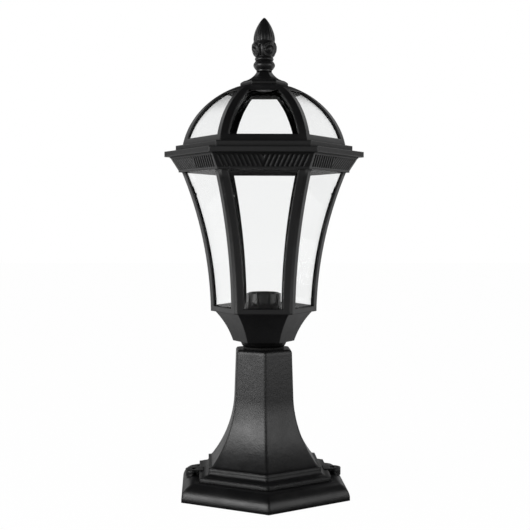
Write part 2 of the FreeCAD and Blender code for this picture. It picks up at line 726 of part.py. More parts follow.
def crown_cap():
    """The swept hexagonal cap over the dome's top, bored for the stud."""
    lip = (CROWN_LIP_HALF, DOME_TOP + CROWN_LIP_HEIGHT)
    shelf = (CROWN_SHELF_HALF, CROWN_SHELF)
    neck = (CROWN_NECK_HALF, FINIAL_FOOT)
    cap = hexagon([
        (CROWN_LIP_HALF, DOME_TOP),
        lip,
        bow(lip, shelf, CROWN_SHELF_ROUND),
        bow(shelf, neck, -CROWN_SWEEP_HOLLOW),
    ])
    return cap.cut(rod(STUD_HOLE, DOME_TOP - CUT_CLEAR, FINIAL_FOOT + CUT_CLEAR))


def finial_stud():
    """The threaded stud that holds crown and finial on the dome."""
    return rod(STUD_RADIUS, DOME_TOP - DOME_BOSS_HEIGHT, FINIAL_FOOT + STUD_BITE - STUD_GAP)


def finial():
    """Collar, ball, bead, leaf cup and bud, with a blind hole for the stud."""
    ball_foot = FINIAL_FOOT + FINIAL_COLLAR_HEIGHT
    bead_foot = ball_foot + FINIAL_BALL_HEIGHT
    leaf_foot = bead_foot + FINIAL_BEAD_HEIGHT
    bud_foot = leaf_foot + FINIAL_LEAF_HEIGHT
    tip = bud_foot + FINIAL_BUD_HEIGHT
    ball_start, ball_end = (FINIAL_BALL_NECK, ball_foot), (FINIAL_BALL_NECK, bead_foot)
    bead_end = (FINIAL_WAIST_RADIUS, leaf_foot)
    leaf_end = (FINIAL_BUD_RADIUS, bud_foot)
    body = spun([
        (0.0, FINIAL_FOOT),
        (FINIAL_COLLAR_RADIUS, FINIAL_FOOT),
        (FINIAL_COLLAR_RADIUS, ball_foot),
        ball_start,
        bow(ball_start, ball_end, FINIAL_BALL_RADIUS - FINIAL_BALL_NECK),
        bow(ball_end, bead_end, FINIAL_BEAD_RADIUS - FINIAL_WAIST_RADIUS),
        bow(bead_end, leaf_end, FINIAL_LEAF_BULGE),
        bow(leaf_end, (FINIAL_TIP_RADIUS, tip), FINIAL_BUD_ROUND),
        (0.0, tip),
    ])
    return body.cut(rod(STUD_HOLE, FINIAL_FOOT - CUT_CLEAR, FINIAL_FOOT + STUD_BITE))


def nipple():
    """The threaded tube that clamps the neck and carries the lamp holder."""
    return tube(NIPPLE_RADIUS, NIPPLE_RADIUS - NIPPLE_WALL, NIPPLE_FOOT, INSERT_FOOT)


def washer(low):
    """A flat washer on the nipple."""
    return tube(NIPPLE_RADIUS + WASHER_REACH, NIPPLE_HOLE, low, low + WASHER_THICKNESS)


def holder_base():
    """The moulded cap at the foot of the lamp holder, screwed on the nipple."""
    return tube(HOLDER_RADIUS, NIPPLE_HOLE, NUT_TOP, INSERT_FOOT)


def holder_body():
    """The moulded skirt of the lamp holder, standing on its base."""
    return spun([
        (HOLDER_BORE, INSERT_FOOT),
        (HOLDER_RADIUS, INSERT_FOOT),
        (HOLDER_RADIUS, HOLDER_TOP - HOLDER_MOUTH_BEVEL),
        (HOLDER_RADIUS - HOLDER_MOUTH_BEVEL, HOLDER_TOP),
        (HOLDER_BORE, HOLDER_TOP),
    ])


def holder_ring():
    """The ring screwed on the skirt, which holds the conical cover down."""
    return tube(HOLDER_RING_BORE + HOLDER_RING_WALL, HOLDER_RING_BORE, RING_FOOT, RING_TOP)


def contact_foot():
    """Level of the centre contact's underside, at the bottom of its pocket."""
    return INSERT_FOOT + INSERT_HEIGHT - CONTACT_RECESS - CONTACT_HEIGHT


def holder_insert():
    """The insulating block at the bottom of the skirt, with a pocket for the centre contact."""
    top = INSERT_FOOT + INSERT_HEIGHT
    block = rod(SHELL_RADIUS + SHELL_THICKNESS, INSERT_FOOT, top)
    return block.cut(rod(CONTACT_RADIUS + SHELL_GAP, contact_foot(), top))


def screw_shell():
    """The threaded shell that a lamp's cap screws into."""
    low = INSERT_FOOT + INSERT_HEIGHT
    return tube(SHELL_RADIUS + SHELL_THICKNESS, SHELL_RADIUS, low, low + SHELL_HEIGHT)


def centre_contact():
    """The bevelled contact in the middle of the insert."""
    low = contact_foot()
    top = low + CONTACT_HEIGHT
    return spun([
        (0.0, low),
        (CONTACT_RADIUS, low),
        (CONTACT_RADIUS, top - CONTACT_BEVEL),
        (CONTACT_RADIUS - CONTACT_BEVEL, top),
        (0.0, top),
    ])


def holder_cover():
    """The conical cover round the holder, its foot resting against the cup's flats."""
    foot = CUP_FOOT + COVER_FOOT_RISE
    rim = bow_reach(*cup_curve(), foot) - CUP_WALL - COVER_GAP
    hole = HOLDER_RADIUS + COVER_GAP
    brow = hole + COVER_FLANGE
    return spun([
        (hole, RING_FOOT),
        (brow, RING_FOOT),
        (rim, foot),
        (rim - COVER_THICKNESS, foot),
        (brow - COVER_THICKNESS, RING_FOOT - COVER_THICKNESS),
        (hole, RING_FOOT - COVER_THICKNESS),
    ])


def cage_screws():
    """Screws through the ledge's lugs into the cup."""
    piece = raised(screw(CAGE_SCREW, CAGE_SCREW_LENGTH), LEDGE_TOP)
    return [at_corner(piece, CAGE_SCREW_CORNER, corner) for corner in SCREW_CORNERS]


def terminal_poles():
    """Places of the three poles across the block."""
    return (-TERMINAL_PITCH, 0.0, TERMINAL_PITCH)


def terminal_block():
    """The three-pole block on its boss, with screw wells and wire holes."""
    depth, width, height = TERMINAL_SIZE
    front = TERMINAL_FACE - depth
    body = Part.makeBox(depth, width, height, Vector(front, -width / 2, TERMINAL_LEVEL))
    cuts = []
    for pole in terminal_poles():
        well = sideways(rod(TERMINAL_WELL_RADIUS, 0, TERMINAL_WELL_DEPTH), front, TERMINAL_MIDDLE, 0)
        well.translate(Vector(0, pole, 0))
        wire = rod(TERMINAL_WIRE_RADIUS, TERMINAL_TOP - TERMINAL_WIRE_DEPTH, TERMINAL_TOP)
        wire.translate(Vector(TERMINAL_FACE - depth / 2, pole, 0))
        cuts += [well, wire]
    cuts.append(terminal_fixing_screw(screw_hole))
    return body.cut(cuts)


def terminal_screws():
    """The three clamping screws at the bottom of their wells."""
    low = TERMINAL_FACE - TERMINAL_SIZE[0] + TERMINAL_WELL_DEPTH - TERMINAL_SCREW_HEIGHT
    screws = []
    for pole in terminal_poles():
        piece = sideways(rod(TERMINAL_SCREW_RADIUS, 0, TERMINAL_SCREW_HEIGHT), low, TERMINAL_MIDDLE, 0)
        piece.translate(Vector(0, pole, 0))
        screws.append(piece)
    return screws


def terminal_fixing_screw(maker=screw):
    """The screw, or its hole, between two poles that holds the block on its boss."""
    depth = TERMINAL_SIZE[0]
    piece = maker(TERMINAL_FIXING, depth + TERMINAL_FIXING_BITE)
    piece = sideways(piece, depth - TERMINAL_FACE, TERMINAL_MIDDLE, 180)
    piece.translate(Vector(0, TERMINAL_PITCH / 2, 0))
    return piece


def earth_tag():
    """A ring terminal under the earth screw, with a barrel for its lead."""
    back = TERMINAL_FACE - EARTH_TAG_THICKNESS
    ring = sideways(rod(EARTH_TAG_RADIUS, 0, EARTH_TAG_THICKNESS), back, TERMINAL_MIDDLE, 0)
    low = TERMINAL_MIDDLE + EARTH_SCREW[1] + SCREW_GAP
    barrel = rod(EARTH_BARREL_RADIUS, low, low + EARTH_BARREL_HEIGHT)
    barrel.translate(Vector(earth_barrel_place(), 0, 0))
    return turned(ring.fuse(barrel).removeSplitter(), 180).cut(earth_screw(screw_hole))


def earth_barrel_place():
    """Distance of the earth tag's barrel from the axis."""
    return TERMINAL_FACE - EARTH_TAG_THICKNESS / 2 - EARTH_BARREL_RADIUS


def earth_screw(maker=screw):
    """The screw, or its hole, that bonds the casting."""
    return sideways(
        maker(EARTH_SCREW, EARTH_SCREW_LENGTH), EARTH_TAG_THICKNESS - TERMINAL_FACE, TERMINAL_MIDDLE, 0
    )


def lead(route):
    """A round lead along straight runs joined by tangent arcs."""
    points = [Vector(*place) for place in route]
    here = points[0]
    edges = []
    for before, corner, after in zip(points, points[1:], points[2:]):
        back, ahead = before - corner, after - corner
        trim = LEAD_BEND_SHARE * min(back.Length, ahead.Length)
        start = corner + back.normalize() * trim
        end = corner + ahead.normalize() * trim
        toward = (back + ahead).normalize()
        half_angle = back.getAngle(ahead) / 2
        radius = trim * math.tan(half_angle)
        middle = corner + toward * (radius / math.sin(half_angle) - radius)
        edges.append(Part.LineSegment(here, start).toShape())
        edges.append(Part.Arc(start, middle, end).toShape())
        here = end
    edges.append(Part.LineSegment(here, points[-1]).toShape())
    path = Part.Wire(edges)
    profile = Part.Wire(Part.makeCircle(LEAD_RADIUS, points[0], points[1] - points[0]))
    return path.makePipeShell([profile], True, False)


def supply_lead(side):
    """A lead from an outer pole of the block up through the nipple to the holder's insert."""
    pole = (TERMINAL_FACE - TERMINAL_SIZE[0] / 2, side * TERMINAL_PITCH)
    gathered = (0.0, side * LEAD_SPREAD)
    return lead([
        (*pole, TERMINAL_TOP - TERMINAL_WIRE_DEPTH),
        (*pole, TERMINAL_TOP + LEAD_RISE),
        (*gathered, NIPPLE_FOOT - LEAD_GATHER),
        (*gathered, INSERT_FOOT),
    ])


def earth_lead():
    """A lead from the middle pole across to the earth tag's barrel."""
    pole = TERMINAL_FACE - TERMINAL_SIZE[0] / 2
    barrel_top = TERMINAL_MIDDLE + EARTH_SCREW[1] + SCREW_GAP + EARTH_BARREL_HEIGHT
    return lead([
        (pole, 0, TERMINAL_TOP - TERMINAL_WIRE_DEPTH),
        (pole, 0, TERMINAL_TOP + LEAD_RISE),
        (-earth_barrel_place(), 0, TERMINAL_TOP + LEAD_RISE),
        (-earth_barrel_place(), 0, barrel_top),
    ])


def pedestal_nodes():
    """The pieces that keep the pedestal's own direction."""
    return {
        "pedestal": pedestal(),
        "neck_gasket": neck_gasket(),
        "nipple": nipple(),
        "nipple_washers": Part.makeCompound([washer(LOWER_NUT + NUT_HEIGHT), washer(CUP_FLOOR_TOP)]),
        "nipple_nuts": Part.makeCompound([nut(LOWER_NUT), nut(CUP_FLOOR_TOP + WASHER_THICKNESS)]),
        "terminal_block": terminal_block(),
        "terminal_screws": Part.makeCompound(terminal_screws()),
        "terminal_fixing_screw": terminal_fixing_screw(),
        "earth_tag": earth_tag(),
        "earth_screw": earth_screw(),
        "live_lead": supply_lead(1),
        "neutral_lead": supply_lead(-1),
        "earth_lead": earth_lead(),
    }


def head_nodes():
    """The pieces of the lantern, which is clamped a little turned from the pedestal."""
    nodes = {
        "lantern_cup": lantern_cup(),
        "holder_base": holder_base(),
        "holder_body": holder_body(),
        "holder_ring": holder_ring(),
        "holder_insert": holder_insert(),
        "screw_shell": screw_shell(),
        "centre_contact": centre_contact(),
        "holder_cover": holder_cover(),
        "cage": cage(),
        "cage_screws": Part.makeCompound(cage_screws()),
        "cage_strip_screws": Part.makeCompound(strip_screws()),
        "cornice": cornice(),
        "cornice_set_screws": Part.makeCompound(set_screws()),
        "dome_screws": Part.makeCompound(dome_screws()),
        "dome_frame": dome_frame(),
        "crown_cap": crown_cap(),
        "finial": finial(),
        "finial_stud": finial_stud(),
    }
    for number, (face, strip) in enumerate(zip(FACES, cage_strips()), start=1):
        nodes[f"cage_pane_{number}"] = cage_pane(face)
        nodes[f"dome_pane_{number}"] = dome_pane(face)
        nodes[f"cage_strip_{number}"] = strip
    return {name: turned(shape, HEAD_TURN) for name, shape in nodes.items()}


def main():
    """Builds every piece and writes one file for each."""
    os.makedirs("parts", exist_ok=True)
    for name, shape in {**pedestal_nodes(), **head_nodes()}.items():
        solids = shape.Solids
        shape = solids[0] if len(solids) == 1 else Part.makeCompound(solids)
        shape.exportStep(f"parts/{name}.step")
        volume = sum(solid.Volume for solid in solids)
        print(f"{name}: {len(solids)} solids, {volume / 1000:.2f} cm3, valid {shape.isValid()}")


main()
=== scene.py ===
"""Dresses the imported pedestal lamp: castings, glazing, lamp holder, wiring and studio."""

import json
import logging
import math
from dataclasses import dataclass, field
from enum import Enum
from typing import Any, Callable

import bpy
from mathutils import Matrix, Vector


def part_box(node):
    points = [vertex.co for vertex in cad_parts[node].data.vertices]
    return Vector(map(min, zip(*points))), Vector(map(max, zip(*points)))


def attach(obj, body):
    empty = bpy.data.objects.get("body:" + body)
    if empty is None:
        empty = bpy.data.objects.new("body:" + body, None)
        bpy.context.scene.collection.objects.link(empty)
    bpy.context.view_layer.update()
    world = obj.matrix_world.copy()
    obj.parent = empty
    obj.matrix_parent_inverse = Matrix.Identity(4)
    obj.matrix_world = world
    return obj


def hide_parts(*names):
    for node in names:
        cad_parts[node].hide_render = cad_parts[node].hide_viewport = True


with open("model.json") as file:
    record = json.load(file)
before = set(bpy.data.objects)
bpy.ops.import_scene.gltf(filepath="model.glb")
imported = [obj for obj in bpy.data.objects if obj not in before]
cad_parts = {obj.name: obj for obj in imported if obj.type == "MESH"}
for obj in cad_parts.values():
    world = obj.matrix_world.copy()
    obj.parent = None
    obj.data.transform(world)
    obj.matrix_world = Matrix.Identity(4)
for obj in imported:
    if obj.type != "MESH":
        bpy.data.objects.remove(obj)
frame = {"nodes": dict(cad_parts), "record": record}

log = logging.getLogger("pedestal_lamp")
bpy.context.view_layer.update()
Colour = tuple[float, float, float, float]
Pair = tuple[float, float]
Triple = tuple[float, float, float]

# Samples of each node that looks about itself
NODE_SAMPLES = 6
# Millimetres in a metre
PER_METRE = 1000
# Distances at which points are merged, as imported and after carving
MERGE = 2e-6
SLIVER = 2e-5
# Angles: still flat, sharp enough to round, and shaded smooth on castings and carving
FLAT = math.radians(0.3)
SHARP = math.radians(28)
SMOOTH = math.radians(40)
CARVED_SMOOTH = math.radians(60)


def grey(value: float) -> Colour:
    """A neutral colour.

    Args:
        value: Its brightness.

    Returns:
        The colour.
    """
    return (value, value, value, 1.0)


# Matt black laid over the castings as painted shade in corners and grooves
PAINTED_SHADE_BLACK = grey(0.003)
WHITE = grey(1.0)


def bell(offset: float, width: float) -> float:
    """A bell curve.

    Args:
        offset: Distance from its middle.
        width: Distance where it has dropped to about a third.

    Returns:
        1 in the middle, towards 0 far off.
    """
    return math.exp(-((offset / width) ** 2))


class Ray(Enum):
    """What the Light Path node counts along a ray."""

    MATT = "Diffuse Depth"
    SHINY = "Glossy Depth"


class Amount:
    """A number that changes over a surface: a node's socket with Python's own operators."""

    def __init__(self, recipe: "Recipe", socket: bpy.types.NodeSocket) -> None:
        """Keeps the socket and the recipe that it belongs to."""
        self.recipe = recipe
        self.socket = socket

    def _math(self, operation: str, first: Any, second: Any) -> "Amount":
        """Adds one Math node.

        Args:
            operation: Blender's name of the operation.
            first: A number or an amount.
            second: A number or an amount.

        Returns:
            The node's result.
        """
        node = self.recipe.node("ShaderNodeMath", {"operation": operation}, {0: first, 1: second})
        return Amount(self.recipe, node.outputs[0])

    def __add__(self, other: Any) -> "Amount":
        """The sum."""
        return self._math("ADD", self, other)

    __radd__ = __add__

    def __sub__(self, other: Any) -> "Amount":
        """The difference."""
        return self._math("SUBTRACT", self, other)

    def __rsub__(self, other: Any) -> "Amount":
        """The difference from a number."""
        return self._math("SUBTRACT", other, self)

    def __mul__(self, other: Any) -> "Amount":
        """The product."""
        return self._math("MULTIPLY", self, other)

    __rmul__ = __mul__

    def least(self, other: Any) -> "Amount":
        """The smaller of the two."""
        return self._math("MINIMUM", self, other)

    def step(self, low: float, high: float) -> "Amount":
        """A smooth step.

        Args:
            low: Where the step starts from 0.
            high: Where it reaches 1.

        Returns:
            The step's value.
        """
        node = self.recipe.node(
            "ShaderNodeMapRange",
            {"interpolation_type": "SMOOTHSTEP"},
            {"Value": self, "From Min": low, "From Max": high},
        )
        return Amount(self.recipe, node.outputs["Result"])


class Recipe:
    """The nodes of one material or world."""

    def __init__(self, owner: bpy.types.Material | bpy.types.World) -> None:
        """Empties the owner's node tree."""
        owner.use_nodes = True
        self.tree = owner.node_tree
        self.tree.nodes.clear()

    def node(
        self,
        kind: str,
        settings: dict[str, Any] | None = None,
        inputs: dict[str | int, Any] | None = None,
    ) -> bpy.types.Node:
        """Adds a node.

        Args:
            kind: Blender's type of the node.
            settings: Its properties, set first.
            inputs: Values, amounts or sockets of its inputs, by name or place.

        Returns:
            The node.
        """
        node = self.tree.nodes.new(kind)
        for name, value in (settings or {}).items():
            setattr(node, name, value)
        for place, value in (inputs or {}).items():
            if isinstance(value, Amount):
                value = value.socket
            if isinstance(value, bpy.types.NodeSocket):
                self.tree.links.new(value, node.inputs[place])
            else:
                node.inputs[place].default_value = value
        return node

    def place(self) -> bpy.types.NodeSocket:
        """The point's place on the object."""
        return self.node("ShaderNodeTexCoord").outputs["Object"]

    def ways(self, place: bpy.types.NodeSocket) -> list[Amount]:
        """The three parts of a place or direction.

        Args:
            place: The socket of the place or direction.

        Returns:
            Its parts along X, Y and Z.
        """
        parts = self.node("ShaderNodeSeparateXYZ", inputs={0: place}).outputs
        return [Amount(self, part) for part in parts]

    def noise(self, size: float, detail: float = 3.0, rough: float = 0.5) -> Amount:
        """Cloudy noise.

        Args:
            size: Size of its patches, in metres.
            detail: Number of finer layers.
            rough: Weight of the finer layers.

        Returns:
            The noise, about 0.5 on average.
        """
        inputs = {"Vector": self.place(), "Scale": 1 / size, "Detail": detail, "Roughness": rough}
        return Amount(self, self.node("ShaderNodeTexNoise", inputs=inputs).outputs[0])

    def blend(self, factor: Amount, first: Colour, second: Colour) -> bpy.types.NodeSocket:
        """A colour between two.

        Args:
            factor: 0 gives the first, 1 the second.
            first: The first colour.
            second: The second colour.

        Returns:
            The colour's socket.
        """
        node = self.node("ShaderNodeMix", {"data_type": "RGBA"}, {"Factor": factor, 6: first, 7: second})
        return node.outputs[2]

    def bump(self, height: Amount, depth: float, soften: float = 0.0) -> bpy.types.NodeSocket:
        """A normal for a relief.

        Args:
            height: The relief, from 0 to 1.
            depth: Its depth in metres.
            soften: Radius to which edges look rounded, in metres; 0 leaves them.

        Returns:
            The normal's socket.
        """
        inputs: dict[str, Any] = {"Strength": 1.0, "Distance": depth, "Height": height}
        if soften:
            rounding = self.node("ShaderNodeBevel", {"samples": NODE_SAMPLES}, {"Radius": soften})
            inputs["Normal"] = rounding.outputs[0]
        return self.node("ShaderNodeBump", inputs=inputs).outputs[0]

    def met(self, ray: Ray) -> Amount:
        """1 where the ray has met that kind of surface on its way, else 0."""
        return Amount(self, self.node("ShaderNodeLightPath").outputs[ray.value]).least(1.0)

    def hollow(self, reach: float, alone_only: bool) -> Amount:
        """How closed in a point is.

        Args:
            reach: How far away a surface counts, in metres.
            alone_only: Whether only the piece's own surfaces count.

        Returns:
            0 in the open, towards 1 deep in a corner or groove.
        """
        settings = {"samples": NODE_SAMPLES, "only_local": alone_only}
        node = self.node("ShaderNodeAmbientOcclusion", settings, {"Distance": reach})
        return 1 - Amount(self, node.outputs["AO"])

    def surface(self, painted_shade: Amount | None = None, **inputs: Any) -> None:
        """Adds the principled shader and the output.

        Args:
            painted_shade: Share of matt black laid over the shader as painted shade in corners and
                grooves, if any.
            **inputs: The shader's inputs, by name with underscores for spaces.
        """
        named = {name.replace("_", " "): value for name, value in inputs.items()}
        result = self.node("ShaderNodeBsdfPrincipled", inputs=named).outputs[0]
        # Painted shade: matt black mixed over the shader where the surface is closed in
        if painted_shade is not None:
            shade_black = self.node("ShaderNodeBsdfDiffuse", inputs={"Color": PAINTED_SHADE_BLACK})
            mix = self.node("ShaderNodeMixShader", inputs={0: painted_shade, 1: result, 2: shade_black.outputs[0]})
            result = mix.outputs[0]
        self.node("ShaderNodeOutputMaterial", inputs={"Surface": result})


@dataclass(frozen=True)
class PowderCoat:
    """Satin black powder coat over a casting."""

    name: str = "satin_black_powder_coat"
    slot: str = "black_paint"
    dark: Colour = (0.0035, 0.0035, 0.0038, 1.0)
    pale: Colour = (0.0085, 0.0085, 0.0089, 1.0)
    grain: float = 0.0011
    peel: float = 0.0042
    cloud: float = 0.022
    satin: float = 0.34
    soften: float = 0.0017
    # Painted shade: how far nearby surfaces count, whether only the piece's own do, the steps of
    # closedness and the darkest share of black
    reach: float = 0.005
    alone_only: bool = False
    closed: Pair = (0.12, 0.6)
    shade_black: float = 0.85
    relief: float = 0.0002
    grain_share: float = 0.4
    uneven: Pair = (0.26, 0.1)
    grain_steps: Pair = (0.5, 0.8)
    cloud_steps: Pair = (0.35, 0.75)
    speck_share: float = 0.6
    index: float = 1.5

    def material(self) -> bpy.types.Material:
        """Builds the coat: fine grain over orange peel, with cloudy gloss and matt black painted as
        shade in the hollows.
        """
        material = bpy.data.materials.new(self.name)
        recipe = Recipe(material)
        grain = recipe.noise(self.grain, 2.0, 0.6)
        peel = recipe.noise(self.peel, 2.0)
        cloud = recipe.noise(self.cloud, 4.0, 0.6)
        specks = grain.step(*self.grain_steps) * self.speck_share
        specks = specks + cloud.step(*self.cloud_steps) * (1 - self.speck_share)
        cloudy, grainy = self.uneven
        rough = grain * self.grain_share + peel * (1 - self.grain_share)
        recipe.surface(
            Base_Color=recipe.blend(specks, self.dark, self.pale),
            Roughness=cloud * cloudy + grain * grainy + (self.satin - (cloudy + grainy) / 2),
            Normal=recipe.bump(rough, self.relief, self.soften),
            # Painted shade: matt black mixed in where the surface is closed in
            painted_shade=recipe.hollow(self.reach, self.alone_only).step(*self.closed) * self.shade_black,
            IOR=self.index,
        )
        return material


@dataclass(frozen=True)
class ClearGlass:
    """Clear drawn glass with a faint wave."""

    name: str = "clear_drawn_glass"
    slot: str = "clear_glass"
    tint: Colour = (0.962, 0.966, 0.965, 1.0)
    wave: float = 0.03
    depth: float = 0.00008
    index: float = 1.26

    def material(self) -> bpy.types.Material:
        """Builds the glass: clear, smooth, a little wavy."""
        material = bpy.data.materials.new(self.name)
        recipe = Recipe(material)
        wave = recipe.noise(self.wave, 1.0)
        recipe.surface(
            Base_Color=self.tint,
            Roughness=0.0,
            IOR=self.index,
            Transmission_Weight=1.0,
            Normal=recipe.bump(wave, self.depth),
        )
        return material


@dataclass(frozen=True)
class Moulding:
    """Moulded plastic, ceramic, rubber or sheath."""

    name: str
    slot: str
    dark: Colour
    pale: Colour
    gloss: float
    grain: float
    depth: float = 0.00005
    patch: float = 14.0
    tones: Pair = (0.3, 0.7)
    uneven: float = 0.15

    def material(self) -> bpy.types.Material:
        """Builds the moulding: a fine grain and slightly uneven gloss."""
        material = bpy.data.materials.new(self.name)
        recipe = Recipe(material)
        grain = recipe.noise(self.grain, 3.0)
        cloud = recipe.noise(self.grain * self.patch, 3.0)
        recipe.surface(
            Base_Color=recipe.blend(cloud.step(*self.tones), self.dark, self.pale),
            Roughness=cloud * self.uneven + (self.gloss - self.uneven / 2),
            Normal=recipe.bump(grain, self.depth),
        )
        return material


@dataclass(frozen=True)
class TurnedMetal:
    """Bare turned or pressed metal."""

    name: str
    slot: str
    dark: Colour
    pale: Colour
    gloss: float
    stretch: Triple = (1.0, 1.0, 14.0)
    lines: float = 420.0
    relief: float = 0.00003
    patch: float = 0.006
    tones: Pair = (0.35, 0.7)
    uneven: float = 0.2

    def material(self) -> bpy.types.Material:
        """Builds the metal: fine tool lines and dull patches."""
        material = bpy.data.materials.new(self.name)
        recipe = Recipe(material)
        along = {"Vector": recipe.place(), "Scale": self.stretch}
        mapping = recipe.node("ShaderNodeMapping", inputs=along)
        fine = {"Vector": mapping.outputs[0], "Scale": self.lines, "Detail": 2.0}
        tool = Amount(recipe, recipe.node("ShaderNodeTexNoise", inputs=fine).outputs[0])
        dull = recipe.noise(self.patch, 4.0)
        recipe.surface(
            Base_Color=recipe.blend(dull.step(*self.tones), self.dark, self.pale),
            Metallic=1.0,
            Roughness=dull * self.uneven + (self.gloss - self.uneven / 2),
            Normal=recipe.bump(tool, self.relief),
        )
        return material


def alone(piece: bpy.types.Object) -> None:
    """Selects one object and nothing else."""
    bpy.ops.object.select_all(action="DESELECT")
    piece.select_set(True)
    bpy.context.view_layer.objects.active = piece


def apply_modifier(piece: bpy.types.Object, kind: str, **settings: Any) -> None:
    """Adds a modifier and applies it.

    Args:
        piece: The object.
        kind: Blender's type of the modifier.
        **settings: The modifier's properties.
    """
    alone(piece)
    bpy.ops.object.modifier_add(type=kind)
    modifier = piece.modifiers[-1]
    for name, value in settings.items():
        setattr(modifier, name, value)
    bpy.ops.object.modifier_apply(modifier=modifier.name)


def finish_piece(
    piece: bpy.types.Object, material: bpy.types.Material, nodes: list[str]
) -> None:
    """Paints a new piece, hangs it under the root body and hides the CAD nodes that it stands for.

    Args:
        piece: The piece, in place.
        material: The finish's material.
        nodes: The CAD nodes that it stands for.
    """
    piece.data.materials.clear()
    piece.data.materials.append(material)
    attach(piece, "root")
    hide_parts(*nodes)
    log.info("%s: %d faces", piece.name, len(piece.data.polygons))


@dataclass(frozen=True)
class ShortFlutes:
    """The two short flutes that close the V in the middle of each flat of the cornice. Millimetres."""

    flats: int = 6
    turn: float = 26.3
    band_half: Pair = (78.2, 85.6)
    band_rows: Pair = (1.7, 14.8)
    end_gap: float = 0.9
    top_place: float = 1.3
    lean: float = 0.4
    mouth: float = 1.7
    depth: float = 1.1
    joined: float = 0.001

    def _cutter(self, angle: float, foot: float) -> bpy.types.Object:
        """Makes two leaning bars, mitred at the flat's middle line.

        Args:
            angle: Direction of the flat, in degrees.
            foot: Level of the cornice's foot.

        Returns:
            The bars, as one object.
        """
        (low_half, high_half), (low, high) = self.band_half, self.band_rows
        rise = Vector((high_half - low_half, 0, high - low)).normalized()
        across = Vector((0, 1, 0))
        out = Vector((rise.z, 0, -rise.x))
        lean = rise + across * self.lean
        length = 2 * (self.top_place + self.mouth) / self.lean
        top = Vector((high_half, 0, foot + high)) - rise * self.end_gap
        middle = top + across * self.top_place - lean * (length / 2)
        bpy.ops.object.select_all(action="DESELECT")
        bpy.ops.mesh.primitive_cylinder_add(vertices=4, radius=1, depth=1, location=(0, 0, 0))
        bar = bpy.context.active_object
        shape = Matrix((across * self.mouth, out * self.depth, lean * length)).transposed().to_4x4()
        shape.translation = middle
        bar.data.transform(shape)
        bpy.ops.object.mode_set(mode="EDIT")
        bpy.ops.mesh.select_all(action="SELECT")
        bpy.ops.mesh.bisect(plane_co=(0, 0, 0), plane_no=across, clear_inner=True)
        bpy.ops.object.mode_set(mode="OBJECT")
        apply_modifier(bar, "MIRROR", use_axis=(False, True, False), merge_threshold=self.joined)
        bpy.ops.object.mode_set(mode="EDIT")
        bpy.ops.mesh.select_all(action="SELECT")
        bpy.ops.mesh.normals_make_consistent(inside=False)
        bpy.ops.object.mode_set(mode="OBJECT")
        turn = Matrix.Rotation(math.radians(angle), 4, "Z")
        bar.data.transform(turn @ Matrix.Scale(1 / PER_METRE, 4))
        return bar

    def cut(self, piece: bpy.types.Object) -> None:
        """Cuts the short flutes into the cornice.

        Args:
            piece: The cornice, not yet rounded.
        """
        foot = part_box("cornice")[0].z * PER_METRE
        for flat in range(self.flats):
            cutter = self._cutter(self.turn + flat * 360 / self.flats, foot)
            apply_modifier(piece, "BOOLEAN", operation="DIFFERENCE", object=cutter, solver="EXACT")
            bpy.data.objects.remove(cutter)


def rounded_copy(
    node: str,
    edge: float,
    fine: float = 1.0,
    fine_span: Pair = (0.0, 0.0),
    carve: Callable[[bpy.types.Object], None] | None = None,
) -> bpy.types.Object:
    """Copies a CAD node, merges its triangles and rounds its sharp edges as a casting's are.

    Args:
        node: The CAD node.
        edge: Width of the rounding in metres.
        fine: Share of that width on edges within the fine span.
        fine_span: Lowest and highest level of the fine edges, in metres.
        carve: What to carve before the rounding, if anything.

    Returns:
        The piece.
    """
    mesh = frame["nodes"][node].data.copy()
    piece = bpy.data.objects.new(f"{node}_finished", mesh)
    bpy.context.collection.objects.link(piece)
    alone(piece)
    bpy.ops.object.mode_set(mode="EDIT")
    bpy.ops.mesh.select_all(action="SELECT")
    bpy.ops.mesh.customdata_custom_splitnormals_clear()
    bpy.ops.mesh.remove_doubles(threshold=MERGE)
    bpy.ops.mesh.dissolve_limited(angle_limit=FLAT)
    if carve:
        bpy.ops.object.mode_set(mode="OBJECT")
        carve(piece)
        alone(piece)
        bpy.ops.object.mode_set(mode="EDIT")
        bpy.ops.mesh.select_all(action="SELECT")
        bpy.ops.mesh.remove_doubles(threshold=SLIVER)
        bpy.ops.mesh.dissolve_limited(angle_limit=FLAT)
    bpy.ops.mesh.select_all(action="DESELECT")
    bpy.ops.mesh.select_mode(type="EDGE")
    bpy.ops.mesh.edges_select_sharp(sharpness=SHARP)
    bpy.ops.object.mode_set(mode="OBJECT")
    weights = mesh.attributes.new("bevel_weight_edge", "FLOAT", "EDGE")
    for place, line in enumerate(mesh.edges):
        if line.select:
            levels = [mesh.vertices[end].co.z for end in line.vertices]
            small = fine_span[0] < min(levels) and max(levels) < fine_span[1]
            weights.data[place].value = fine if small else 1.0
    apply_modifier(piece, "BEVEL", width=edge, segments=2, limit_method="WEIGHT", use_clamp_overlap=True)
    alone(piece)
    bpy.ops.object.shade_smooth_by_angle(angle=SMOOTH)
    apply_modifier(piece, "WEIGHTED_NORMAL", keep_sharp=True)
    return piece


@dataclass(frozen=True)
class Edge:
    """Rounding of a casting's edges, in metres, with a finer share between two levels."""

    width: float
    fine: float = 1.0
    span: Pair = (0.0, 0.0)


